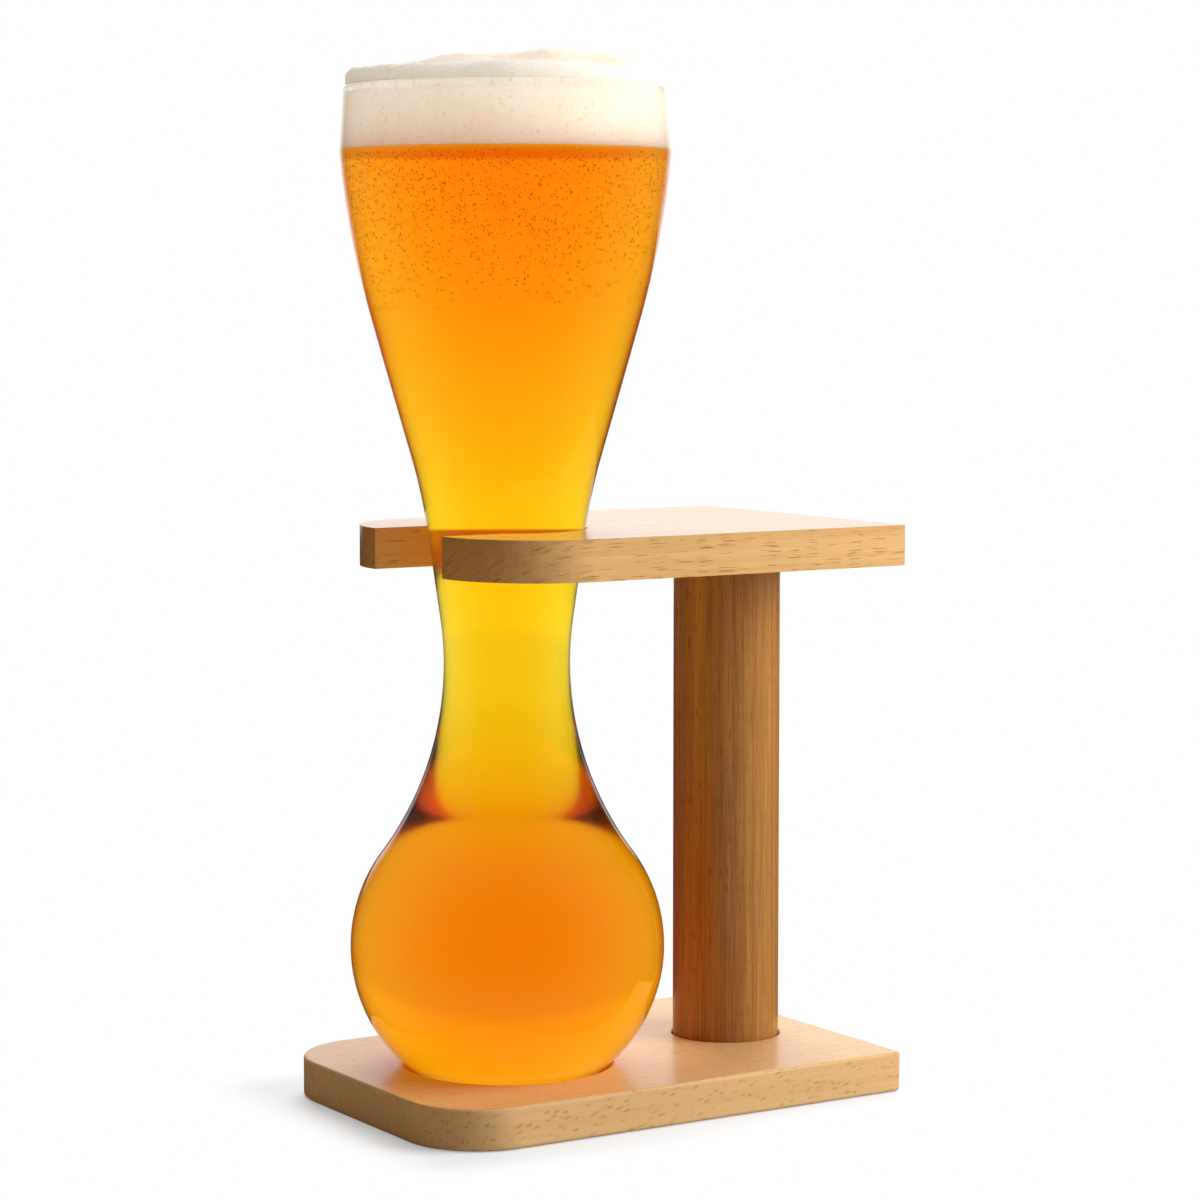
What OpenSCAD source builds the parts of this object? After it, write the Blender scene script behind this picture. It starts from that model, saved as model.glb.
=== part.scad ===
// Yard glass on its wooden stand.
// The origin is the centre of the base board's underside, +X runs from the glass to the post, +Z is up.

/* [Glass] */
// Outer radius of the round bulb
bulb_r = 40; // [34:0.5:46]
// Radius of the hollow curve from the bulb up to the neck
waist_curve = 82; // [60:1:110]
// Outer radius of the neck at its narrowest
neck_r = 16; // [13:0.5:19]
// Radius of the hollow curve just above the narrowest point
throat_curve = 75; // [50:1:120]
// Lean of the neck's straight taper from upright, in degrees
taper_angle = 8; // [5:0.5:11]
// Height of the flare's foot above the narrowest point
taper_height = 33; // [26:1:45]
// Radius of the hollow curve at the flare's foot
flare_curve = 140; // [80:1:180]
// Lean of the flare from upright, in degrees
flare_angle = 16; // [13:0.5:20]
// Radius of the rounded side of the bowl
bowl_curve = 220; // [150:1:260]
// Lean of the bowl's side where it turns in to the lip, in degrees
bowl_angle = 5.5; // [3:0.5:8]
// Outer radius of the bowl at its widest
bowl_r = 41.5; // [38:0.5:46]
// Radius of the turn from the bowl to the lip
lip_curve = 24; // [10:1:40]
// Inward lean of the lip from upright, in degrees
lip_angle = 3.2; // [1:0.1:6]
// Height of the rim above the widest point
lip_height = 16; // [10:0.5:22]
// Thickness of the glass wall
wall = 2; // [1.4:0.1:3]
// Thickness of the glass under the bulb's floor
floor_t = 5; // [3:0.5:8]
// Radius of the curve between the floor and the bulb's inside
floor_curve = 12; // [6:1:18]

/* [Stand] */
// Width of both boards
board_w = 90; // [85:1:110]
// Thickness of both boards
board_t = 10.4; // [9:0.1:14]
// Radius of the base board's two rounded corners
corner_r = 20; // [10:1:26]
// Radius of the arm's two rounded corners
arm_corner_r = 26.5; // [16:0.5:28]
// Width of the small bevel on the boards' edges
arris = 0.8; // [0.4:0.1:1.5]
// Reach of the base board past the bulb
toe = 3.2; // [1:0.1:12]
// Room for fingers between the bulb and the post
hand_gap = 13.4; // [10:0.1:25]
// Diameter of the post
post_d = 28; // [22:1:34]
// Wood between the post and the square end of the boards
heel = 10.4; // [6:0.1:20]
// Setback of the arm's open end from the base board's rounded end
arm_setback = 14.7; // [8:0.1:24]
// Height of the arm's top above the narrowest point of the neck
arm_rise = 34; // [24:1:40]
// Depth of the post's socket in each board
socket_depth = 5; // [3:0.5:6.5]

/* [Screw] */
// Diameter of the screw
screw_d = 4; // [3:0.5:5]
// Length of the screw, with its head
screw_length = 30; // [20:1:45]
// Diameter of the countersunk head
head_d = 8; // [6.5:0.5:10]

/* [Clearances] */
// Height of the bulb's underside above the table
bulb_lift = 0.6; // [0.4:0.1:2]
// Gap between the bulb and the rim of its seat
seat_gap = 0.3; // [0.2:0.05:0.6]
// Gap between the neck's taper and its round seat in the arm
neck_gap = 0.4; // [0.3:0.05:1]
// Gap on each side of the narrowest point of the neck in the arm's mouth
mouth_gap = 1; // [0.5:0.1:2]
// Gap around the post in its sockets
socket_gap = 0.15; // [0.05:0.05:0.3]
// Gap around the screw
screw_gap = 0.1; // [0.05:0.05:0.2]
// Depth of the screw head below the base board's underside
head_sink = 0.3; // [0.2:0.1:1]

/* [Hidden] */

// Farthest that the steps along an arc of the glass's profile may lie from the true curve
arc_error = 0.03;
// Facets of the boards' rounded corners, and of everything that is turned or drilled
corner_fn = 96;
round_fn = 128;
// Overshoot of a cut past the face it opens
over = 1;

// Headings along the profile: 0 runs straight out from the axis, 90 straight up and 180 straight in
up = 90;
taper_h = up - taper_angle;
flare_h = up - flare_angle;
bowl_h = up - bowl_angle;
lip_h = up + lip_angle;

// Unit vectors of a heading, and of its right-hand side
function along(h) = [cos(h), sin(h)];
function aside(h) = [sin(h), -cos(h)];

// Arc that starts on one heading and ends on another: a hollow arc has a negative radius
function arc_steps(radius, turn) = ceil(abs(turn)/(2*acos(1 - arc_error/abs(radius))));
function arc(centre, radius, from, to) =
    let (steps = arc_steps(radius, to - from))
    [for (i = [0:steps]) centre + radius*aside(from + (to - from)*i/steps)];

// Bulb, and the hollow waist that touches both the bulb and the neck
bulb_c = [0, bulb_lift + bulb_r];
waist_x = neck_r + waist_curve;
waist_rise = sqrt(pow(bulb_r + waist_curve, 2) - pow(waist_x, 2));
waist_c = bulb_c + [waist_x, waist_rise];
waist_h = atan2(waist_x, -waist_rise);
neck_z = waist_c[1];

// Throat, straight taper and the foot of the flare
throat_c = [neck_r + throat_curve, neck_z];
taper_start = throat_c - throat_curve*aside(taper_h);
taper_run = (neck_z + taper_height - taper_start[1])/sin(taper_h);
taper_end = taper_start + taper_run*along(taper_h);
flare_c = taper_end + flare_curve*aside(taper_h);
flare_start = flare_c - flare_curve*aside(flare_h);

// Bowl and lip, set at the height where the straight flare meets the bowl's curve
lip_to_bowl = (lip_curve - bowl_curve)*aside(bowl_h);
bowl_foot = lip_to_bowl + bowl_curve*aside(flare_h);
flare_run = (bowl_r - lip_curve + bowl_foot[0] - flare_start[0])/cos(flare_h);
lip_c = [bowl_r - lip_curve, flare_start[1] + flare_run*sin(flare_h) - bowl_foot[1]];
bowl_c = lip_c + lip_to_bowl;

// Round rim on the straight lip
rim_r = wall/2;
lip_end = lip_c + (lip_curve - rim_r)*aside(lip_h);
rim_rise = lip_height - rim_r - (lip_end[1] - lip_c[1]);
rim_c = lip_end + rim_rise/sin(lip_h)*along(lip_h);

// Floor inside the bulb, and the curve that turns up from it
inner_r = bulb_r - wall;
floor_z = bulb_lift + floor_t;
floor_drop = bulb_c[1] - floor_z - floor_curve;
floor_c = [sqrt(pow(inner_r - floor_curve, 2) - pow(floor_drop, 2)), floor_z + floor_curve];
floor_h = atan2(floor_c[0], floor_drop);

// One side of the glass wall from the given heading of the bulb to the lip, at a depth below the outer face
function wall_line(depth, from) = concat(
    arc(bulb_c, bulb_r - depth, from, waist_h),
    arc(waist_c, -waist_curve - depth, waist_h, up),
    arc(throat_c, -throat_curve - depth, up, taper_h),
    arc(flare_c, -flare_curve - depth, taper_h, flare_h),
    arc(bowl_c, bowl_curve - depth, flare_h, bowl_h),
    arc(lip_c, lip_curve - depth, bowl_h, lip_h)
);
outer_line = wall_line(0, 0);
inner_line = concat(
    [[0, floor_z]],
    arc(floor_c, floor_curve, 0, floor_h),
    wall_line(wall, floor_h)
);
rim_line = arc(rim_c, rim_r, lip_h, lip_h + 180);

function backwards(line) = [for (i = [len(line) - 1:-1:0]) line[i]];

// Outer radius of the glass at a height
outer_heights = [for (p = outer_line) [p[1], p[0]]];
function glass_r(z) = lookup(z, outer_heights);

// Lengthwise places of the stand, from the base board's rounded end
base_l = toe + 2*bulb_r + hand_gap + post_d + heel;
base_end = -base_l/2;
glass_x = base_end + toe + bulb_r;
post_x = glass_x + bulb_r + hand_gap + post_d/2;
arm_end = base_end + arm_setback;
arm_l = base_l - arm_setback;

// Heights of the arm and the post
arm_top = neck_z + arm_rise;
arm_z = arm_top - board_t;
post_z = board_t - socket_depth;
post_l = arm_z + socket_depth - post_z;

// Seats of the bulb and the neck, as wide as the glass is there
seat_r = sqrt(pow(bulb_r + seat_gap, 2) - pow(bulb_c[1] - board_t, 2));
hole_r = max(glass_r(arm_z), glass_r(arm_top)) + neck_gap;
// Mouth of the arm, which lets only the neck's narrowest point through
mouth_w = 2*(neck_r + mouth_gap);

// Screw head, a cone of 45 degrees
head_h = (head_d - screw_d)/2;
tip_h = screw_d;
screw_hole_d = screw_d + 2*screw_gap;

// Outline of a board that starts at x = 0 with its rounded end
module board_outline(length, width, radius) {
    translate([radius, -width/2])
        square([length - radius, width]);
    translate([0, radius - width/2])
        square([length, width - 2*radius]);
    for (side = [-1, 1])
        translate([radius, side*(width/2 - radius)])
            circle(r = radius, $fn = corner_fn);
}

// Board with a small bevel on every edge
module board(length, radius) {
    hull() {
        translate([0, 0, arris])
            linear_extrude(board_t - 2*arris)
                board_outline(length, board_w, radius);
        translate([arris, 0, 0])
            linear_extrude(board_t)
                board_outline(length - 2*arris, board_w - 2*arris, radius - arris);
    }
}

// Blind socket for one end of the post, open at z = 0 and sunk towards +Z
module post_socket() {
    translate([post_x, 0, -over])
        cylinder(d = post_d + 2*socket_gap, h = socket_depth + over, $fn = round_fn);
}

module glass() {
    color("lightblue", 0.5)
        translate([glass_x, 0, 0])
            rotate_extrude($fn = round_fn)
                polygon(concat(outer_line, rim_line, backwards(inner_line)));
}

module base_board() {
    color("burlywood")
        difference() {
            translate([base_end, 0, 0])
                board(base_l, corner_r);
            // Seat of the bulb, with an eased upper edge that carries the glass
            translate([glass_x, 0, -over])
                cylinder(r = seat_r - arris, h = board_t + 2*over, $fn = round_fn);
            translate([glass_x, 0, board_t - arris])
                cylinder(r1 = seat_r - arris, r2 = seat_r + over, h = arris + over, $fn = round_fn);
            // Socket and countersunk hole under the post
            translate([0, 0, board_t])
                mirror([0, 0, 1])
                    post_socket();
            translate([post_x, 0, -over])
                cylinder(d = screw_hole_d, h = board_t, $fn = round_fn);
            translate([post_x, 0, -over])
                cylinder(d1 = head_d + 2*(screw_gap + head_sink + over), d2 = screw_hole_d,
                    h = head_h + head_sink + over, $fn = round_fn);
        }
}

module post() {
    color("sienna")
        difference() {
            translate([post_x, 0, post_z])
                cylinder(d = post_d, h = post_l, $fn = round_fn);
            translate([post_x, 0, 0])
                cylinder(d = screw_hole_d, h = head_sink + screw_length + screw_gap, $fn = round_fn);
        }
}

module arm_board() {
    color("burlywood")
        difference() {
            translate([arm_end, 0, arm_z])
                board(arm_l, arm_corner_r);
            // Keyhole for the neck: a round seat about the glass's axis, and its narrower mouth
            translate([glass_x, 0, arm_z - over])
                cylinder(r = hole_r, h = board_t + 2*over, $fn = round_fn);
            translate([arm_end - over, -mouth_w/2, arm_z - over])
                cube([glass_x - arm_end + over, mouth_w, board_t + 2*over]);
            translate([0, 0, arm_z])
                post_socket();
        }
}

module post_screw() {
    color("silver")
        translate([post_x, 0, head_sink])
            rotate_extrude($fn = round_fn)
                polygon([
                    [0, 0],
                    [head_d/2, 0],
                    [screw_d/2, head_h],
                    [screw_d/2, screw_length - tip_h],
                    [0, screw_length]
                ]);
}

glass();
base_board();
post();
arm_board();
post_screw();
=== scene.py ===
import bpy
import bmesh
import math
import random
from mathutils import Matrix, Vector, noise


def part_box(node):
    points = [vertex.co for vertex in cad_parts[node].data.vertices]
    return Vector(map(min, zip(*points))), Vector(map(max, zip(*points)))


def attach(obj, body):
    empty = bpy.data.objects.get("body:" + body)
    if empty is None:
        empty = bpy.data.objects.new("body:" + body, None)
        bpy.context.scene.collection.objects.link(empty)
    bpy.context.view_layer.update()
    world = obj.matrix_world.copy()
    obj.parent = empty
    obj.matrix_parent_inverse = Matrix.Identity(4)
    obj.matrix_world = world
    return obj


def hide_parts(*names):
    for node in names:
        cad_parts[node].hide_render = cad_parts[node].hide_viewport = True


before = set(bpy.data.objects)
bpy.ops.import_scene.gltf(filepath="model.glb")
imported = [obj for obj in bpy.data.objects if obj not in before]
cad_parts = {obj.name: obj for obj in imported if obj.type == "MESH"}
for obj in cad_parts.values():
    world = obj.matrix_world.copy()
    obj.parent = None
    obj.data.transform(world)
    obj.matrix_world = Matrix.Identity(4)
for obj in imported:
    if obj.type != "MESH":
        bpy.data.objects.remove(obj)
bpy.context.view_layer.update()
scene = bpy.context.scene
scene.view_settings.view_transform = "Standard"

# light runs along inside the glass wall, and stops black if it may not turn often enough
turns = {"all": 28, "mirrored": 20, "bent": 28, "blur": 0.0}
scene.cycles.max_bounces = turns["all"]
scene.cycles.glossy_bounces = turns["mirrored"]
scene.cycles.transmission_bounces = turns["bent"]
scene.cycles.blur_glossy = turns["blur"]

mm = 0.001
weld = 0.001 * mm  # points closer than this become one

# places that the CAD frame gives
glassLow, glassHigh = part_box("glass")
baseLow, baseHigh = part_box("base_board")
armLow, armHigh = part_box("arm_board")
postLow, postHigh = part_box("post")
screwLow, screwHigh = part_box("post_screw")
glassX = (glassLow.x + glassHigh.x) / 2
postX = (postLow.x + postHigh.x) / 2
postRadius = (postHigh.x - postLow.x) / 2


# small helpers for meshes

def looseObject(name, bm):
    mesh = bpy.data.meshes.new(name)
    bm.to_mesh(mesh)
    bm.free()
    loose = bpy.data.objects.new(name, mesh)
    scene.collection.objects.link(loose)
    return loose


def newPiece(name, bm, body, material):
    piece = looseObject(name, bm)
    piece.data.materials.append(material)
    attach(piece, body)
    return piece


def spinLine(line, steps, centreX):
    # turns a line of (radius, height) points about an upright axis into a closed skin
    bm = bmesh.new()
    verts = [bm.verts.new((centreX + r, 0, z)) for r, z in line]
    edges = [bm.edges.new(pair) for pair in zip(verts, verts[1:])]
    bmesh.ops.spin(bm, geom=verts + edges, cent=(centreX, 0, 0), axis=(0, 0, 1),
                   angle=math.tau, steps=steps, use_merge=True)
    bmesh.ops.remove_doubles(bm, verts=bm.verts, dist=weld)
    bmesh.ops.recalc_face_normals(bm, faces=bm.faces)
    for face in bm.faces:
        face.smooth = True
    return bm


def markEnds(bm, grain):
    # how squarely each face cuts the grain
    layer = bm.faces.layers.float.new("endGrain")
    for face in bm.faces:
        face[layer] = abs(face.normal.dot(grain))


# small helpers for node trees

def link(tree, source, target):
    tree.links.new(source, target)


def feed(tree, socket, value):
    # a value is a number or colour, or comes from another node
    if isinstance(value, bpy.types.NodeSocket):
        link(tree, value, socket)
    else:
        socket.default_value = value


def addNode(tree, kind, x=0, y=0, settings=None, **values):
    node = tree.nodes.new(kind)
    node.location = (x, y)
    for key, value in (settings or {}).items():
        setattr(node, key, value)
    for key, value in values.items():
        feed(tree, node.inputs[key.replace("_", " ")], value)
    return node


def addMath(tree, kind, x, y, *values, clamp=False):
    node = addNode(tree, "ShaderNodeMath", x, y, {"operation": kind, "use_clamp": clamp})
    for socket, value in zip(node.inputs, values):
        feed(tree, socket, value)
    return node.outputs["Value"]


def addVector(tree, kind, x, y, *values, result="Vector"):
    node = addNode(tree, "ShaderNodeVectorMath", x, y, {"operation": kind})
    for socket, value in zip(node.inputs, values):
        feed(tree, socket, value)
    return node.outputs[result]


def mixValue(tree, mask, outside, inside, x, y):
    # one value where the mask is 0, another where it is 1
    node = addNode(tree, "ShaderNodeMix", x, y)
    for index, value in zip((0, 2, 3), (mask, outside, inside)):
        feed(tree, node.inputs[index], value)
    return node.outputs[0]


def mixColour(tree, mask, outside, inside, x, y, blend="MIX"):
    node = addNode(tree, "ShaderNodeMix", x, y, {"data_type": "RGBA", "blend_type": blend})
    for index, value in zip((0, 6, 7), (mask, outside, inside)):
        feed(tree, node.inputs[index], value)
    return node.outputs[2]


def mixShader(tree, mask, outside, inside, x, y):
    node = addNode(tree, "ShaderNodeMixShader", x, y)
    for socket, value in zip(node.inputs, (mask, outside, inside)):
        link(tree, value, socket)
    return node.outputs["Shader"]


def softStep(tree, value, edge, levels, x, y):
    # goes smoothly from one level to another between two edges
    node = addNode(tree, "ShaderNodeMapRange", x, y, {"interpolation_type": "SMOOTHSTEP"}, Value=value,
                   From_Min=edge[0], From_Max=edge[1], To_Min=levels[0], To_Max=levels[1])
    return node.outputs["Result"]


def newMaterial(name):
    material = bpy.data.materials.new(name)
    material.use_nodes = True
    tree = material.node_tree
    return material, tree, tree.nodes["Principled BSDF"]


def setSurface(tree, shader):
    link(tree, shader, tree.nodes["Material Output"].inputs["Surface"])


# camera, where the photograph was taken from
shot = {"place": (-0.4779, -0.7620, 0.2104), "heading": 32.29, "dip": 5.25,
        "lens": 105.5, "sensor": 36.0, "near": 0.01, "far": 50.0}


def makeCamera(spec):
    camera = bpy.data.cameras.new("shotCamera")
    camera.lens = spec["lens"]
    camera.sensor_width = spec["sensor"]
    camera.clip_start, camera.clip_end = spec["near"], spec["far"]
    holder = bpy.data.objects.new("shotCamera", camera)
    heading, dip = math.radians(spec["heading"]), math.radians(spec["dip"])
    look = Vector((math.sin(heading) * math.cos(dip), math.cos(heading) * math.cos(dip), -math.sin(dip)))
    holder.location = spec["place"]
    holder.rotation_euler = look.to_track_quat("-Z", "Y").to_euler()
    scene.collection.objects.link(holder)
    scene.camera = holder


def awayFromCamera():
    # level direction in which the camera looks
    heading = math.radians(shot["heading"])
    return Vector((math.sin(heading), math.cos(heading), 0))


makeCamera(shot)
print("camera set")

# the glass: one profile of arcs that touch, turned about its axis
vessel = {
    "bulb": 40.0 * mm, "lift": 0.6 * mm, "waist": 82.0 * mm, "neck": 16.0 * mm,
    "throat": 75.0 * mm, "taperLean": 8.0, "taperHeight": 33.0 * mm,
    "flare": 140.0 * mm, "flareLean": 16.0, "bowlCurve": 220.0 * mm, "bowlLean": 5.5,
    "bowl": 41.5 * mm, "lipCurve": 24.0 * mm, "lipLean": 3.2, "lipHeight": 16.0 * mm,
    "wall": 2.0 * mm, "floor": 5.0 * mm, "floorCurve": 12.0 * mm,
    "arcError": 0.004 * mm, "turns": 192, "levelFace": 0.2,
    "ior": 1.5, "haze": 0.0, "wetHaze": 0.18, "lampTint": (0.42, 0.42, 0.42, 1),
}


def along(heading):
    return Vector((math.cos(heading), math.sin(heading)))


def aside(heading):
    return Vector((math.sin(heading), -math.cos(heading)))


def arcLine(centre, radius, start, end):
    # a hollow arc has a negative radius
    step = 2 * math.acos(1 - vessel["arcError"] / abs(radius))
    count = max(2, math.ceil(abs(end - start) / step))
    return [centre + radius * aside(start + (end - start) * i / count) for i in range(count + 1)]


def layOutVessel(v):
    up = math.pi / 2
    taper, flare = up - math.radians(v["taperLean"]), up - math.radians(v["flareLean"])
    bowl, lip = up - math.radians(v["bowlLean"]), up + math.radians(v["lipLean"])
    bulbAt = Vector((0, v["lift"] + v["bulb"]))
    waistX = v["neck"] + v["waist"]
    waistRise = math.sqrt((v["bulb"] + v["waist"]) ** 2 - waistX ** 2)
    waistAt = bulbAt + Vector((waistX, waistRise))
    waist = math.atan2(waistX, -waistRise)
    throatAt = Vector((v["neck"] + v["throat"], waistAt.y))
    taperStart = throatAt - v["throat"] * aside(taper)
    taperRun = (waistAt.y + v["taperHeight"] - taperStart.y) / math.sin(taper)
    flareAt = taperStart + taperRun * along(taper) + v["flare"] * aside(taper)
    flareStart = flareAt - v["flare"] * aside(flare)
    lipToBowl = (v["lipCurve"] - v["bowlCurve"]) * aside(bowl)
    bowlFoot = lipToBowl + v["bowlCurve"] * aside(flare)
    flareRun = (v["bowl"] - v["lipCurve"] + bowlFoot.x - flareStart.x) / math.cos(flare)
    lipAt = Vector((v["bowl"] - v["lipCurve"], flareStart.y + flareRun * math.sin(flare) - bowlFoot.y))
    bowlAt = lipAt + lipToBowl
    rim = v["wall"] / 2
    lipEnd = lipAt + (v["lipCurve"] - rim) * aside(lip)
    rimRise = v["lipHeight"] - rim - (lipEnd.y - lipAt.y)
    rimAt = lipEnd + rimRise / math.sin(lip) * along(lip)
    inner, floorZ = v["bulb"] - v["wall"], v["lift"] + v["floor"]
    floorDrop = bulbAt.y - floorZ - v["floorCurve"]
    floorX = math.sqrt((inner - v["floorCurve"]) ** 2 - floorDrop ** 2)
    floorAt = Vector((floorX, floorZ + v["floorCurve"]))
    floor = math.atan2(floorAt.x, floorDrop)

    def wallLine(depth, start):
        # one side of the wall, from a heading of the bulb to the lip
        return (arcLine(bulbAt, v["bulb"] - depth, start, waist)
                + arcLine(waistAt, -v["waist"] - depth, waist, up)
                + arcLine(throatAt, -v["throat"] - depth, up, taper)
                + arcLine(flareAt, -v["flare"] - depth, taper, flare)
                + arcLine(bowlAt, v["bowlCurve"] - depth, flare, bowl)
                + arcLine(lipAt, v["lipCurve"] - depth, bowl, lip))

    def innerLine(depth):
        # the inside, from the middle of the floor to the lip
        bite = v["wall"] - depth
        return ([Vector((0, floorZ - bite))]
                + arcLine(floorAt, v["floorCurve"] + bite, 0, floor)
                + wallLine(depth, floor))

    return {"wallLine": wallLine, "innerLine": innerLine, "lip": lip, "rimAt": rimAt,
            "rimLine": arcLine(rimAt, rim, lip, lip + math.pi), "rimTop": rimAt.y + rim}


layout = layOutVessel(vessel)


def tidyLine(line):
    # drops points that repeat where two arcs touch
    kept = [line[0]]
    for point in line[1:]:
        if (point - kept[-1]).length > 2 * weld:
            kept.append(point)
    return kept


def clipLine(line, height):
    # the part of a rising line below a height, with its end on that height
    kept = [p for p in line if p.y < height]
    above = next(p for p in line if p.y >= height)
    share = (height - kept[-1].y) / (above.y - kept[-1].y)
    return kept + [kept[-1].lerp(above, share)]


def makeGlass(material, wetMaterial):
    inside = layout["innerLine"](vessel["wall"])
    wet = clipLine(inside, beer["level"])
    dry = [p for p in inside if p.y > beer["level"]]
    line = tidyLine(layout["wallLine"](0, 0) + layout["rimLine"] + (wet + dry)[::-1])
    bm = spinLine(line, vessel["turns"], glassX)
    axis = Vector((glassX, 0, 0))
    floorTop = vessel["lift"] + 2 * vessel["floor"]
    for face in bm.faces:
        # inner faces below the beer's level touch beer instead of air
        middle = face.calc_center_median()
        inward = face.normal.dot(Vector((middle.x, middle.y, 0)) - axis) < 0
        floorFace = middle.z < floorTop and face.normal.z > vessel["levelFace"]
        if middle.z < beer["level"] and (inward or floorFace):
            face.material_index = 1
    piece = newPiece("glassVessel", bm, "glass", material)
    piece.data.materials.append(wetMaterial)
    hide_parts("glass")


def makeClearGlass(name, ior, haze, tint=(1, 1, 1, 1)):
    material, tree, shader = newMaterial(name)
    shader.inputs["Base Color"].default_value = tint
    shader.inputs["Roughness"].default_value = haze
    shader.inputs["IOR"].default_value = ior
    shader.inputs["Transmission Weight"].default_value = 1.0
    # lamps shine through, so that the beer throws amber light on the wood
    path = addNode(tree, "ShaderNodeLightPath", 0, 400)
    clear = addNode(tree, "ShaderNodeBsdfTransparent", 0, 200, Color=vessel["lampTint"])
    setSurface(tree, mixShader(tree, path.outputs["Is Shadow Ray"], shader.outputs["BSDF"],
                               clear.outputs["BSDF"], 300, 200))
    return material


# the beer: it stands a hair off the wall, which bends the light for both of them
beer = {"level": 242.2 * mm, "gap": 0.02 * mm, "turns": 192, "ior": 1.245,
        "absorbTint": (0.995, 0.905, 0.02, 1), "absorbDensity": 213.0}
makeGlass(makeClearGlass("clearGlass", vessel["ior"], vessel["haze"]),
          makeClearGlass("wetGlass", vessel["ior"] / beer["ior"], vessel["wetHaze"]))
print("glass made")


def makeBeer(material):
    line = clipLine(layout["innerLine"](vessel["wall"] + beer["gap"]), beer["level"])
    line.append(Vector((0, beer["level"])))
    bm = spinLine(tidyLine(line), beer["turns"], glassX)
    newPiece("beer", bm, "glass", material)


def makeBeerLook():
    material, tree, shader = newMaterial("amberBeer")
    shader.inputs["Base Color"].default_value = (1, 1, 1, 1)
    shader.inputs["Roughness"].default_value = 0.0
    shader.inputs["IOR"].default_value = beer["ior"]
    shader.inputs["Transmission Weight"].default_value = 1.0
    # inside the glass, the wet wall has bent the light already
    path = addNode(tree, "ShaderNodeLightPath", 0, 400)
    clear = addNode(tree, "ShaderNodeBsdfTransparent", 0, 200)
    setSurface(tree, mixShader(tree, path.outputs["Is Camera Ray"], clear.outputs["BSDF"],
                               shader.outputs["BSDF"], 300, 200))
    absorb = addNode(tree, "ShaderNodeVolumeAbsorption", 0, -300,
                     Color=beer["absorbTint"], Density=beer["absorbDensity"])
    link(tree, absorb.outputs["Volume"], tree.nodes["Material Output"].inputs["Volume"])
    return material


makeBeer(makeBeerLook())
print("beer poured")

# fine bubbles that cling below the foam, most of them to the left as the camera sees it; their brown tint
# is painted shade, as air bubbles in beer look dark only by how they bend light
bubbles = {"batches": 40, "batch": 70, "seed": 4, "low": 204.0 * mm, "high": 241.0 * mm, "crowd": 0.6,
           "sizes": (0.12 * mm, 0.27 * mm), "deep": (0.5 * mm, 3.0 * mm),
           "heading": 212.0, "spread": 62.0, "stray": 0.5,
           "ior": 0.90, "tint": (0.62, 0.20, 0.04, 1)}


def addBubble(bm, draw, inside):
    rise = draw.random() ** bubbles["crowd"]
    height = bubbles["low"] + (bubbles["high"] - bubbles["low"]) * rise
    turn = draw.gauss(bubbles["heading"], bubbles["spread"])
    if draw.random() < bubbles["stray"]:
        turn = draw.uniform(0, 360)
    depth = draw.uniform(*bubbles["deep"])
    size = draw.uniform(*bubbles["sizes"])
    reach = clipLine(inside, height)[-1].x - depth
    angle = math.radians(turn)
    place = Vector((glassX + reach * math.cos(angle), reach * math.sin(angle), height))
    bmesh.ops.create_icosphere(bm, subdivisions=1, radius=size, matrix=Matrix.Translation(place))


def makeBubbles(material):
    draw = random.Random(bubbles["seed"])
    inside = layout["innerLine"](vessel["wall"])
    whole = bmesh.new()
    for batch in range(bubbles["batches"]):
        # in batches, because each bubble takes longer in a fuller mesh
        some = bmesh.new()
        for bubble in range(bubbles["batch"]):
            addBubble(some, draw, inside)
        mesh = bpy.data.meshes.new("bubbleBatch")
        some.to_mesh(mesh)
        some.free()
        whole.from_mesh(mesh)
        bpy.data.meshes.remove(mesh)
    for face in whole.faces:
        face.smooth = True
    newPiece("beerBubbles", whole, "glass", material)


makeBubbles(makeClearGlass("bubbleSkin", bubbles["ior"], 0.0, bubbles["tint"]))
print("bubbles added")

# the foam: a soft plug in the bowl, with steep shoulders over the rim and mounds on its top
foam = {
    "dip": 0.05 * mm, "bite": 0.10 * mm, "underRim": 0.9 * mm, "groove": 0.5 * mm, "overRim": 0.1 * mm,
    "edgeOut": 0.2 * mm, "edgeHigh": 3.6 * mm, "shoulder": 1.6 * mm, "turns": 200,
    "steps": {"floor": 12, "lip": 6, "groove": 4, "edge": 8, "shoulder": 10, "top": 60},
    # place across the view and away from it, height and width, all in millimetres
    "mounds": (
        {"at": (-28, -4), "high": 1.6, "wide": 9}, {"at": (-10, -10), "high": 4.0, "wide": 10},
        {"at": (11, -8), "high": 4.9, "wide": 13}, {"at": (29, -6), "high": 3.5, "wide": 10},
        {"at": (4, 22), "high": 2.5, "wide": 14}, {"at": (0, -28), "high": 1.0, "wide": 10}),
    # height and size of the lumps on the top, and of those on its side, in millimetres
    "lumps": ((0.7, 8.0), (0.30, 2.0)), "sideLumps": ((0.4, 5.0), (0.16, 1.7)),
    "sideFrom": 30.0 * mm, "noiseShift": 79.1,
}


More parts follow.
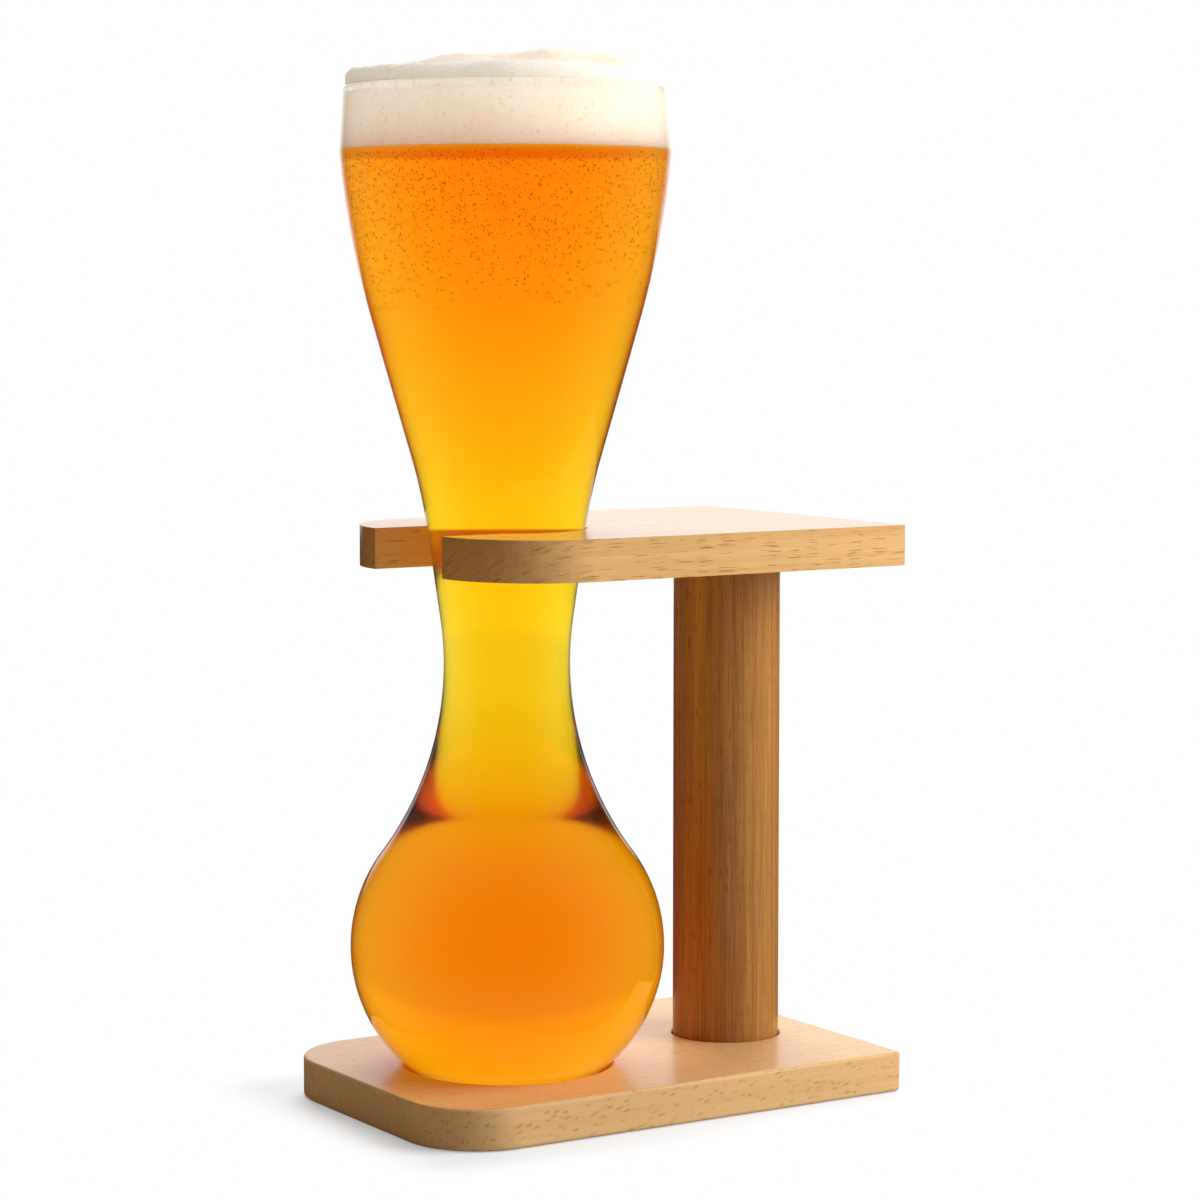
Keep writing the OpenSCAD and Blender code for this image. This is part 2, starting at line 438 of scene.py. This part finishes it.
def foamLine():
    steps = foam["steps"]
    inside = layout["innerLine"](vessel["wall"] - foam["bite"])
    side = [p for p in inside if p.y > beer["level"]]
    foot = clipLine(inside, beer["level"] - foam["dip"])[-1]
    floorLine = [Vector((foot.x * i / steps["floor"], foot.y)) for i in range(steps["floor"])]
    lipTop = layout["rimAt"] - (vessel["wall"] / 2 - foam["bite"]) * aside(layout["lip"])
    lipTop = lipTop - foam["underRim"] * along(layout["lip"])
    side += [side[-1].lerp(lipTop, i / steps["lip"]) for i in range(1, steps["lip"] + 1)]
    # a narrow groove behind the rim, then the crown swells out over it
    grooveX = lipTop.x - foam["groove"]
    base = layout["rimTop"] + foam["overRim"]
    grooveRise = (base - lipTop.y) / steps["groove"]
    side += [Vector((grooveX, lipTop.y + grooveRise * i)) for i in range(steps["groove"] + 1)]
    edge = layout["rimAt"].x + foam["edgeOut"]
    top = layout["rimTop"] + foam["edgeHigh"]
    shoulder = foam["shoulder"]
    edgeRise = (top - shoulder - base) / steps["edge"]
    rise = [Vector((edge, base + edgeRise * i)) for i in range(steps["edge"] + 1)]
    bends = [math.pi / 2 * i / steps["shoulder"] for i in range(1, steps["shoulder"] + 1)]
    bend = [Vector((edge - shoulder * (1 - math.cos(a)), top - shoulder * (1 - math.sin(a))))
            for a in bends]
    flat = [Vector(((edge - shoulder) * (1 - i / steps["top"]), top)) for i in range(1, steps["top"] + 1)]
    return tidyLine(floorLine + [foot] + side + rise + bend + flat)


def liftFoam(bm):
    away = awayFromCamera()
    across = Vector((away.y, -away.x, 0))
    axis = Vector((glassX, 0, 0))
    shift = Vector((foam["noiseShift"], 0, 0))
    for vert in bm.verts:
        rise = vert.co.z - layout["rimTop"]
        if rise <= 0:
            continue
        share = min(1.0, rise / foam["edgeHigh"])
        flat = Vector((vert.co.x, vert.co.y, 0)) - axis
        place = Vector((flat.dot(across), flat.dot(away))) / mm
        lift = 0.0
        for mound in foam["mounds"]:
            gap = (place - Vector(mound["at"])).length / mound["wide"]
            lift += mound["high"] * math.exp(-gap * gap)
        spot = vert.co / mm
        for high, size in foam["lumps"]:
            lift += high * noise.noise(spot / size + shift)
        vert.co.z += lift * mm * share
        bulge = sum(high * noise.noise(spot / size - shift) for high, size in foam["sideLumps"])
        if flat.length > foam["sideFrom"]:
            vert.co += flat.normalized() * bulge * mm * share


def makeFoam(material):
    bm = spinLine(foamLine(), foam["turns"], glassX)
    liftFoam(bm)
    bmesh.ops.recalc_face_normals(bm, faces=bm.faces)
    newPiece("foamHead", bm, "glass", material)


# cream tones, and small open bubbles in cells of two sizes, with painted shade darkening their hollows
foamLook = {
    "tones": ((0.3, (0.915, 0.80, 0.655, 1)), (0.7, (0.94, 0.855, 0.74, 1))),
    "toneScale": 70.0, "toneDetail": 3.0, "fine": 1150.0, "coarse": 560.0,
    "pitShare": 0.2, "pitShadeAmount": 0.75, "pitEdge": (0.40, 0.12), "pitShadeColour": (0.80, 0.66, 0.49, 1),
    "bump": 0.35, "bumpHigh": 0.4 * mm, "rough": 0.7, "scatter": 30.0 * mm,
}


def makeFoamLook(look):
    material, tree, shader = newMaterial("creamFoam")
    place = addNode(tree, "ShaderNodeTexCoord", -1200, 0).outputs["Object"]
    fine = addNode(tree, "ShaderNodeTexVoronoi", -900, 100, Vector=place, Scale=look["fine"])
    coarse = addNode(tree, "ShaderNodeTexVoronoi", -900, -150, Vector=place, Scale=look["coarse"])
    tone = addNode(tree, "ShaderNodeTexNoise", -900, -400, Vector=place, Scale=look["toneScale"],
                   Detail=look["toneDetail"])
    colours = addNode(tree, "ShaderNodeValToRGB", -650, -350, Fac=tone.outputs["Fac"])
    for element, stop in zip(colours.color_ramp.elements, look["tones"]):
        element.position, element.color = stop
    base = colours.outputs["Color"]
    for cells, y in ((fine, 500), (coarse, 800)):
        pick = addNode(tree, "ShaderNodeSeparateColor", -650, y, Color=cells.outputs["Color"])
        chosen = addNode(tree, "ShaderNodeMapRange", -450, y, Value=pick.outputs["Red"],
                         From_Min=look["pitShare"], From_Max=1.0, To_Max=look["pitShadeAmount"])
        pit = softStep(tree, cells.outputs["Distance"], look["pitEdge"], (0.0, 1.0), -450, y + 150)
        # painted shade: the hollows of the picked cells are mixed towards a darker cream
        hole = addMath(tree, "MULTIPLY", -250, y, chosen.outputs["Result"], pit)
        base = mixColour(tree, hole, base, look["pitShadeColour"], -50, y)
    link(tree, base, shader.inputs["Base Color"])
    froth = addMath(tree, "MULTIPLY", -650, 0, fine.outputs["Distance"], coarse.outputs["Distance"])
    bump = addNode(tree, "ShaderNodeBump", -300, -200, Strength=look["bump"],
                   Distance=look["bumpHigh"], Height=froth)
    link(tree, bump.outputs["Normal"], shader.inputs["Normal"])
    shader.inputs["Roughness"].default_value = look["rough"]
    shader.inputs["Subsurface Weight"].default_value = 1.0
    shader.inputs["Subsurface Radius"].default_value = (1.0, 1.0, 1.0)
    shader.inputs["Subsurface Scale"].default_value = look["scatter"]
    return material


makeFoam(makeFoamLook(foamLook))
print("foam set")

# the wood: one figure of growth rings, fibres and rays, turned to suit each piece
# scales are cells per metre along the grain, along the rays and across both
beech = {
    "fibres": {"scale": (45, 2600, 2600), "detail": 2.0},
    "rings": {"scale": (6, 380, 650), "detail": 3.0},
    "broad": {"scale": (9, 40, 40), "detail": 2.0},
    "wobble": {"scale": 220.0, "detail": 2.0, "by": 0.9},
    "rayEdge": (0.46, 0.16), "rayFade": 0.5, "middle": 0.5, "endEdge": (0.45, 1.0),
    "glossBy": 0.05, "coatRough": 0.18, "bump": 0.15, "bumpHigh": 0.2 * mm,
}


def makeBeechGroup():
    tree = bpy.data.node_groups.new("beechFigure", "ShaderNodeTree")
    face = tree.interface
    for name in ("Place", "Ray Scale"):
        face.new_socket(name, in_out="INPUT", socket_type="NodeSocketVector")
    for name in ("Pale", "Deep", "Fleck"):
        face.new_socket(name, in_out="INPUT", socket_type="NodeSocketColor")
    for name in ("Ray Slant", "Ray Share", "Ray Amount", "Ring Amount", "Fibre Amount", "Broad Amount"):
        face.new_socket(name, in_out="INPUT", socket_type="NodeSocketFloat")
    face.new_socket("Color", in_out="OUTPUT", socket_type="NodeSocketColor")
    face.new_socket("Height", in_out="OUTPUT", socket_type="NodeSocketFloat")
    start = addNode(tree, "NodeGroupInput", -2000, 0).outputs
    end = addNode(tree, "NodeGroupOutput", 900, 0).inputs
    place = start["Place"]

    # rays: long cells that lean with the slant, some of them picked and darkened
    parts = addNode(tree, "ShaderNodeSeparateXYZ", -1800, 600, Vector=place).outputs
    lean = addMath(tree, "MULTIPLY", -1650, 500, parts["Y"], start["Ray Slant"])
    alongGrain = addMath(tree, "ADD", -1500, 600, parts["X"], lean)
    slanted = addNode(tree, "ShaderNodeCombineXYZ", -1350, 600, X=alongGrain, Y=parts["Y"], Z=parts["Z"])
    cellPlace = addVector(tree, "MULTIPLY", -1150, 600, slanted.outputs["Vector"], start["Ray Scale"])
    wobble = addNode(tree, "ShaderNodeTexNoise", -1300, 350, Vector=place,
                     Scale=beech["wobble"]["scale"], Detail=beech["wobble"]["detail"])
    shift = addNode(tree, "ShaderNodeVectorMath", -1100, 350, {"operation": "SCALE"},
                    Scale=beech["wobble"]["by"])
    link(tree, wobble.outputs["Color"], shift.inputs[0])
    bent = addVector(tree, "ADD", -900, 500, cellPlace, shift.outputs["Vector"])
    cells = addNode(tree, "ShaderNodeTexVoronoi", -700, 500, Vector=bent, Scale=1.0)
    lens = softStep(tree, cells.outputs["Distance"], beech["rayEdge"], (0.0, 1.0), -480, 550)
    pick = addNode(tree, "ShaderNodeSeparateColor", -480, 300, Color=cells.outputs["Color"])
    keep = addMath(tree, "SUBTRACT", -480, 150, 1.0, start["Ray Share"])
    chosen = addNode(tree, "ShaderNodeMapRange", -280, 300, Value=pick.outputs["Red"], From_Min=keep,
                     From_Max=1.0, To_Min=0.0, To_Max=1.0)
    kept = addMath(tree, "POWER", -100, 300, chosen.outputs["Result"], beech["rayFade"])
    rays = addMath(tree, "MULTIPLY", 60, 400, lens, kept)

    def swing(grain, amount, y):
        # a stretched noise that swings to both sides of 0
        spread = addNode(tree, "ShaderNodeMapping", -1300, y, Vector=place, Scale=grain["scale"])
        streaks = addNode(tree, "ShaderNodeTexNoise", -1050, y, Vector=spread.outputs["Vector"],
                          Scale=1.0, Detail=grain["detail"])
        centred = addMath(tree, "SUBTRACT", -800, y, streaks.outputs["Fac"], beech["middle"])
        return addMath(tree, "MULTIPLY", -620, y, centred, amount)

    fibres = swing(beech["fibres"], start["Fibre Amount"], 0)
    rings = swing(beech["rings"], start["Ring Amount"], -300)
    broad = swing(beech["broad"], start["Broad Amount"], -600)
    total = addMath(tree, "ADD", -220, -200, addMath(tree, "ADD", -400, -100, fibres, rings), broad)
    level = addMath(tree, "ADD", -40, -200, total, beech["middle"], clamp=True)
    body = mixColour(tree, level, start["Deep"], start["Pale"], 180, -150)
    fleck = addMath(tree, "MULTIPLY", 220, 250, rays, start["Ray Amount"])
    link(tree, mixColour(tree, fleck, body, start["Fleck"], 450, 0), end["Color"])
    link(tree, level, end["Height"])
    return tree


beechFigure = makeBeechGroup()


def makeBeech(name, look):
    material, tree, shader = newMaterial(name)
    place = addNode(tree, "ShaderNodeTexCoord", -1000, 0)
    turned = addNode(tree, "ShaderNodeMapping", -800, 0, Vector=place.outputs["Object"],
                     Location=look["shift"], Rotation=[math.radians(a) for a in look["turn"]])
    figure = addNode(tree, "ShaderNodeGroup", -550, 0, {"node_tree": beechFigure},
                     Place=turned.outputs["Vector"], Pale=look["pale"], Deep=look["deep"],
                     Fleck=look["fleck"], Ray_Scale=look["rayScale"], Ray_Slant=look["raySlant"],
                     Ray_Share=look["rayShare"], Ray_Amount=look["rays"], Ring_Amount=look["rings"],
                     Fibre_Amount=look["fibres"], Broad_Amount=look["broad"])
    # end grain drinks the oil and turns darker; this darkening is also painted shade on the faces that
    # look along the grain, such as the arm's rounded left end
    ends = addNode(tree, "ShaderNodeAttribute", -550, 350, {"attribute_name": "endGrain"})
    endShare = softStep(tree, ends.outputs["Fac"], beech["endEdge"], (0.0, 1.0), -350, 350)
    oiledAndShaded = mixColour(tree, endShare, figure.outputs["Color"], look["endGrainShadeTone"], -150, 250, "MULTIPLY")
    link(tree, oiledAndShaded, shader.inputs["Base Color"])
    gloss = addNode(tree, "ShaderNodeMapRange", -250, -200, Value=figure.outputs["Height"],
                    To_Min=look["rough"] + beech["glossBy"], To_Max=look["rough"] - beech["glossBy"])
    link(tree, gloss.outputs["Result"], shader.inputs["Roughness"])
    bump = addNode(tree, "ShaderNodeBump", -250, -400, Strength=beech["bump"], Distance=beech["bumpHigh"],
                   Height=figure.outputs["Height"])
    link(tree, bump.outputs["Normal"], shader.inputs["Normal"])
    shader.inputs["Coat Weight"].default_value = look["lacquer"]
    shader.inputs["Coat Roughness"].default_value = beech["coatRough"]
    return material


# turn lays the grain along x and the rays along y
# the end tone darkens the faces that cut the grain: partly end grain, partly painted shade on those ends
beechArm = {
    "turn": (32, 0, 0), "shift": (0.31, 0.07, 0.011), "rough": 0.34, "lacquer": 0.8,
    "pale": (0.74, 0.47, 0.205, 1), "deep": (0.57, 0.325, 0.118, 1), "fleck": (0.28, 0.135, 0.042, 1),
    "rayScale": (150, 150, 3000), "raySlant": 0.0, "rayShare": 0.5, "rays": 0.9,
    "rings": 1.0, "fibres": 0.8, "broad": 0.7, "endGrainShadeTone": (0.85, 0.66, 0.42, 1)}
beechBase = {
    "turn": (72, 0, 0), "shift": (0.02, 0.17, 0.053), "rough": 0.36, "lacquer": 0.3,
    "pale": (0.73, 0.480, 0.235, 1), "deep": (0.58, 0.360, 0.160, 1), "fleck": (0.45, 0.240, 0.100, 1),
    "rayScale": (360, 820, 1250), "raySlant": 1.3, "rayShare": 0.6, "rays": 0.8,
    "rings": 0.7, "fibres": 0.8, "broad": 0.5, "endGrainShadeTone": (1.0, 0.97, 0.94, 1)}
beechTurned = {
    "turn": (0, 90, 0), "shift": (0.11, 0.03, 0.017), "rough": 0.45, "lacquer": 0.3,
    "pale": (0.47, 0.228, 0.064, 1), "deep": (0.215, 0.083, 0.009, 1), "fleck": (0.13, 0.048, 0.006, 1),
    "rayScale": (220, 900, 2600), "raySlant": 0.0, "rayShare": 0.45, "rays": 0.55,
    "rings": 0.8, "fibres": 1.2, "broad": 0.5, "endGrainShadeTone": (0.7, 0.6, 0.45, 1)}

# the two boards: a plate with two rounded corners, cut and then eased along its edges
board = {"baseCorner": 20.0 * mm, "armCorner": 26.5 * mm, "cornerSegments": 24, "ease": 0.8 * mm,
         "easeSegments": 3, "roundBevel": 0.5, "sharp": 30.0, "flat": 0.9999, "roundSegments": 160}


def boardBlank(low, high, corner):
    bm = bmesh.new()
    made = bmesh.ops.create_grid(bm, x_segments=1, y_segments=1, size=0.5)  # a square of side 1
    middle = (low + high) / 2
    bmesh.ops.scale(bm, vec=(high.x - low.x, high.y - low.y, 1), verts=made["verts"])
    bmesh.ops.translate(bm, vec=(middle.x, middle.y, low.z), verts=made["verts"])
    corners = [v for v in bm.verts if v.co.x < middle.x]
    bmesh.ops.bevel(bm, geom=corners, offset=corner, affect="VERTICES",
                    segments=board["cornerSegments"], profile=board["roundBevel"], material=-1)
    lifted = bmesh.ops.extrude_face_region(bm, geom=list(bm.faces))
    tops = [g for g in lifted["geom"] if isinstance(g, bmesh.types.BMVert)]
    bmesh.ops.translate(bm, vec=(0, 0, high.z - low.z), verts=tops)
    bmesh.ops.recalc_face_normals(bm, faces=bm.faces)
    return bm


def plug(radiusLow, radiusHigh, x, low, high):
    # a cutter that is round about an upright axis
    bm = bmesh.new()
    bmesh.ops.create_cone(bm, cap_ends=True, segments=board["roundSegments"],
                          radius1=radiusLow, radius2=radiusHigh, depth=high - low,
                          matrix=Matrix.Translation((x, 0, (low + high) / 2)))
    return bm


def block(low, high):
    bm = bmesh.new()
    size = Vector(high) - Vector(low)
    bmesh.ops.create_cube(bm, size=1, matrix=Matrix.Translation((Vector(low) + Vector(high)) / 2)
                          @ Matrix.Diagonal((*size, 1)))
    return bm


def carve(bm, cutters):
    # takes the cutters out of a solid and gives the result back as a bmesh
    blank = looseObject("blank", bm)
    tools = [looseObject("cutter", cutter) for cutter in cutters]
    for tool in tools:
        cut = blank.modifiers.new("cut", "BOOLEAN")
        cut.operation, cut.solver, cut.object = "DIFFERENCE", "EXACT", tool
    bpy.context.view_layer.update()
    result = bmesh.new()
    result.from_object(blank, bpy.context.evaluated_depsgraph_get())
    for done in [blank] + tools:
        bpy.data.objects.remove(done)
    return result


def easeEdges(bm, width):
    bmesh.ops.remove_doubles(bm, verts=bm.verts, dist=weld)
    sharp = [e for e in bm.edges if len(e.link_faces) == 2
             and e.calc_face_angle() > math.radians(board["sharp"])]
    made = bmesh.ops.bevel(bm, geom=sharp, offset=width, affect="EDGES", segments=board["easeSegments"],
                           profile=board["roundBevel"], material=-1, clamp_overlap=True)
    eased = set(made["faces"])
    for face in bm.faces:
        flat = max(abs(n) for n in face.normal) > board["flat"]
        face.smooth = face in eased or not flat


seatHole = {"gap": 0.3 * mm}
socket = {"depth": 5.0 * mm, "gap": 0.15 * mm}
screwHole = {"shank": 4.2 * mm, "slack": 0.1 * mm}
keyhole = {"gap": 0.4 * mm, "mouthGap": 1.0 * mm}
past = 2.0 * mm  # how far a cutter stands proud of what it cuts


def glassRadius(height):
    # outer radius of the glass at a height
    return clipLine(layout["wallLine"](0, 0), height)[-1].x


def postSocket(low, high):
    radius = postRadius + socket["gap"]
    return plug(radius, radius, postX, low, high)


def makeBase(material):
    top = baseHigh.z
    bulbZ = vessel["lift"] + vessel["bulb"]
    seat = math.sqrt((vessel["bulb"] + seatHole["gap"]) ** 2 - (bulbZ - top) ** 2)
    head = (screwHigh.x - screwLow.x) / 2 + screwHole["slack"]
    sink = head + screwLow.z
    shank = screwHole["shank"] / 2
    cutters = [plug(seat, seat, glassX, -past, top + past),
               postSocket(top - socket["depth"], top + past),
               plug(sink + past, 0, postX, -past, sink),
               plug(shank, shank, postX, -past, top)]
    bm = carve(boardBlank(baseLow, baseHigh, board["baseCorner"]), cutters)
    easeEdges(bm, board["ease"])
    markEnds(bm, Vector((1, 0, 0)))
    piece = newPiece("baseBoard", bm, "stand", material)
    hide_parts("base_board")


def makeArm(material):
    # a round seat for the neck and a mouth that only its narrowest point passes
    hole = max(glassRadius(armLow.z), glassRadius(armHigh.z)) + keyhole["gap"]
    mouth = vessel["neck"] + keyhole["mouthGap"]
    low, high = armLow.z - past, armHigh.z + past
    cutters = [plug(hole, hole, glassX, low, high),
               block((armLow.x - past, -mouth, low), (glassX, mouth, high)),
               postSocket(low, armLow.z + socket["depth"])]
    bm = carve(boardBlank(armLow, armHigh, board["armCorner"]), cutters)
    easeEdges(bm, board["ease"])
    markEnds(bm, Vector((1, 0, 0)))
    piece = newPiece("armBoard", bm, "stand", material)
    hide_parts("arm_board")


makeBase(makeBeech("beechBase", beechBase))
makeArm(makeBeech("beechArm", beechArm))
print("boards made")

# the post: a turned bar with eased ends
post = {"segments": 128, "ease": 0.5 * mm}


def makePost(material):
    bm = bmesh.new()
    bmesh.ops.create_cone(bm, cap_ends=True, segments=post["segments"],
                          radius1=postRadius, radius2=postRadius, depth=postHigh.z - postLow.z,
                          matrix=Matrix.Translation((postX, 0, (postLow.z + postHigh.z) / 2)))
    easeEdges(bm, post["ease"])
    markEnds(bm, Vector((0, 0, 1)))
    piece = newPiece("turnedPost", bm, "stand", material)
    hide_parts("post")


makePost(makeBeech("beechPost", beechTurned))
print("post made")

# the screw keeps its CAD shape and gets a steel finish
steel = {"colour": (0.60, 0.60, 0.58, 1), "grain": 900.0, "detail": 3.0, "rough": (0.25, 0.45)}


def makeSteel():
    material, tree, shader = newMaterial("screwSteel")
    place = addNode(tree, "ShaderNodeTexCoord", -900, 0)
    grain = addNode(tree, "ShaderNodeTexNoise", -700, 0, Vector=place.outputs["Object"],
                    Scale=steel["grain"], Detail=steel["detail"])
    rough = addNode(tree, "ShaderNodeMapRange", -450, 0, Value=grain.outputs["Fac"],
                    To_Min=steel["rough"][0], To_Max=steel["rough"][1])
    link(tree, rough.outputs["Result"], shader.inputs["Roughness"])
    shader.inputs["Base Color"].default_value = steel["colour"]
    shader.inputs["Metallic"].default_value = 1.0
    return material


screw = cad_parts["post_screw"]
screw.data.materials.clear()
screw.data.materials.append(makeSteel())
print("screw finished")

# floor, world and lamps
stage = {
    "floorSize": 6.0, "floorDrop": 0.2 * mm, "floorRough": 0.9,
    "floorColour": (0.575, 0.612, 0.650, 1), "bounceColour": (0.66, 0.585, 0.47, 1), "floorLift": 0.36,
    "fadeEdge": (0.0, 0.018), "underShadeEdge": 0.5 * mm, "underShadeLevel": 0.5,
    "ambient": 0.36, "shade": 0.215, "shadeColour": (1.0, 0.70, 0.34, 1),
    "shadeSide": (-1.0, -0.25, 0.0), "shadeEdge": (0.0, 0.9),
    "backLight": 1.17, "mirrorHigh": 1.05, "mirrorLow": 0.015, "mirrorEdge": (0.84, 0.985),
    "veilEdge": (0.2, 0.7), "veilLevel": 0.2, "veilDepth": 2.5,
    "frontEdge": (-0.25, -0.06), "frontLevel": 0.3,
}
lamps = (
    {"name": "backSoftbox", "place": (0.45, 0.75, 0.85), "aim": (0, 0, 0.10), "size": 0.9, "power": 13.5},
    {"name": "sideSoftbox", "place": (0.75, -0.60, 0.50), "aim": (0, 0, 0.10), "size": 0.7, "power": 14.8},
)


def deepMask(tree, path, x, y):
    # 1 for light that has crossed the beer or been scattered
    # 0 for light that only mirrors off the wet wall, and so has passed fewer surfaces
    passes = addMath(tree, "MULTIPLY_ADD", x, y, path["Diffuse Depth"], 2 * stage["veilDepth"],
                     path["Transmission Depth"])
    return addMath(tree, "GREATER_THAN", x + 180, y, passes, stage["veilDepth"])


def makeFloorLook():
    material, tree, shader = newMaterial("paleFloor")
    shader.inputs["Roughness"].default_value = stage["floorRough"]
    shader.inputs["Specular IOR Level"].default_value = 0.0
    shader.inputs["Emission Color"].default_value = (1, 1, 1, 1)
    path = addNode(tree, "ShaderNodeLightPath", -1100, -300).outputs
    place = addNode(tree, "ShaderNodeTexCoord", -1100, 0).outputs["Object"]
    tint = mixColour(tree, path["Is Diffuse Ray"], stage["floorColour"], stage["bounceColour"], -300, -550)
    link(tree, tint, shader.inputs["Base Color"])
    looked = addMath(tree, "MAXIMUM", -700, -200, path["Is Camera Ray"], path["Is Transmission Ray"])
    lift = addMath(tree, "MULTIPLY", -300, -300, looked, stage["floorLift"])
    link(tree, lift, shader.inputs["Emission Strength"])
    # distance past the edges of the base board
    side = addVector(tree, "ABSOLUTE", -1050, 150, place)
    beyond = addVector(tree, "SUBTRACT", -1000, 100, side, (baseHigh.x, baseHigh.y, 0))
    outside = addVector(tree, "MAXIMUM", -950, 50, beyond, (0, 0, 0))
    reach = addVector(tree, "LENGTH", -900, 0, outside, result="Value")
    # white where the eye or the glass looks at the floor, shaded only near the object
    far = softStep(tree, reach, stage["fadeEdge"], (0.0, 1.0), -700, 0)
    seenFar = addMath(tree, "MULTIPLY", -500, 0, far, looked)
    bent = addMath(tree, "MAXIMUM", -500, -150, path["Is Glossy Ray"], path["Is Transmission Ray"])
    plain = addMath(tree, "MAXIMUM", -300, 0, seenFar, bent)
    # only light that mirrors off the wet wall finds the floor in front dim
    behind = addVector(tree, "DOT_PRODUCT", -900, 400, place, awayFromCamera(), result="Value")
    front = softStep(tree, behind, stage["frontEdge"], (stage["frontLevel"], 1.0), -700, 650)
    ahead = mixValue(tree, deepMask(tree, path, -900, 700), front, 1.0, -620, 700)
    # painted shadow: seen through the glass, the floor under the base board glows at half strength
    underShade = addNode(tree, "ShaderNodeMapRange", -700, 900, Value=reach, From_Max=stage["underShadeEdge"],
                    To_Min=stage["underShadeLevel"])
    below = addMath(tree, "MULTIPLY", -550, 700, ahead, underShade.outputs["Result"])
    bentAs = mixValue(tree, path["Is Transmission Ray"], stage["mirrorLow"], below, -450, 400)
    seenAs = mixValue(tree, bent, 1.0, bentAs, -250, 400)
    white = addNode(tree, "ShaderNodeEmission", 0, 200, Color=(1, 1, 1, 1), Strength=seenAs)
    top = mixShader(tree, plain, shader.outputs["BSDF"], white.outputs["Emission"], 300, 100)
    # open from below, so that the underside can be looked at
    facing = addNode(tree, "ShaderNodeNewGeometry", 300, 400)
    clear = addNode(tree, "ShaderNodeBsdfTransparent", 300, -100)
    setSurface(tree, mixShader(tree, facing.outputs["Backfacing"], top, clear.outputs["BSDF"], 550, 100))
    return material


def makeFloor(material):
    bm = bmesh.new()
    bmesh.ops.create_grid(bm, x_segments=1, y_segments=1, size=stage["floorSize"] / 2,
                          matrix=Matrix.Translation((0, 0, -stage["floorDrop"])))
    floor = looseObject("floor", bm)
    floor.data.materials.append(material)


def makeWorld():
    world = bpy.data.worlds.new("studio")
    world.use_nodes = True
    world.cycles.sampling_method = "NONE"  # so that each kind of ray finds its own level
    scene.world = world
    tree = world.node_tree
    background = tree.nodes["Background"]
    path = addNode(tree, "ShaderNodeLightPath", -1300, 300).outputs
    ray = addNode(tree, "ShaderNodeTexCoord", -1300, 0).outputs["Generated"]
    flatRay = addVector(tree, "NORMALIZE", -1100, 0, addVector(tree, "MULTIPLY", -1200, 0, ray, (1, 1, 0)))

    def toward(heading, direction, edge, levels, y):
        # how far a ray points along a direction, as a soft step between two levels
        aim = Vector(direction).normalized()
        dot = addVector(tree, "DOT_PRODUCT", -1000, y, heading, aim, result="Value")
        return softStep(tree, dot, edge, levels, -800, y)

    backdrop = awayFromCamera()
    mirrored = toward(flatRay, backdrop, stage["mirrorEdge"], (stage["mirrorLow"], stage["mirrorHigh"]), 0)
    soft = toward(ray, stage["shadeSide"], stage["shadeEdge"], (stage["ambient"], stage["shade"]), 300)
    # light that only mirrors off the wet wall finds the side of the viewer dim, so that it veils no beer
    veil = stage["backLight"] * stage["veilLevel"]
    front = toward(ray, -backdrop, stage["veilEdge"], (stage["backLight"], veil), -300)
    through = mixValue(tree, deepMask(tree, path, -900, -600), front, stage["backLight"], -600, -400)
    level = mixValue(tree, path["Is Glossy Ray"], soft, mirrored, -500, 0)
    level = mixValue(tree, path["Is Transmission Ray"], level, through, -300, 0)
    level = mixValue(tree, path["Is Camera Ray"], level, 1.0, -100, 0)
    # the light that soft surfaces get from the shaded side is warm, as wood and beer stand there
    warm = toward(ray, stage["shadeSide"], stage["shadeEdge"], (0.0, 1.0), 600)
    matt = addMath(tree, "MULTIPLY", -500, 600, warm, path["Is Diffuse Ray"])
    colour = mixColour(tree, matt, (1, 1, 1, 1), stage["shadeColour"], -300, 600)
    link(tree, colour, background.inputs["Color"])
    link(tree, level, background.inputs["Strength"])


def makeLamp(spec):
    light = bpy.data.lights.new(spec["name"], "AREA")
    light.shape, light.size, light.energy = "SQUARE", spec["size"], spec["power"]
    holder = bpy.data.objects.new(spec["name"], light)
    holder.location = spec["place"]
    aim = Vector(spec["aim"]) - Vector(spec["place"])
    holder.rotation_euler = aim.to_track_quat("-Z", "Y").to_euler()
    holder.visible_camera = holder.visible_glossy = holder.visible_transmission = False
    scene.collection.objects.link(holder)


makeFloor(makeFloorLook())
makeWorld()
for spec in lamps:
    makeLamp(spec)
print("stage lit")
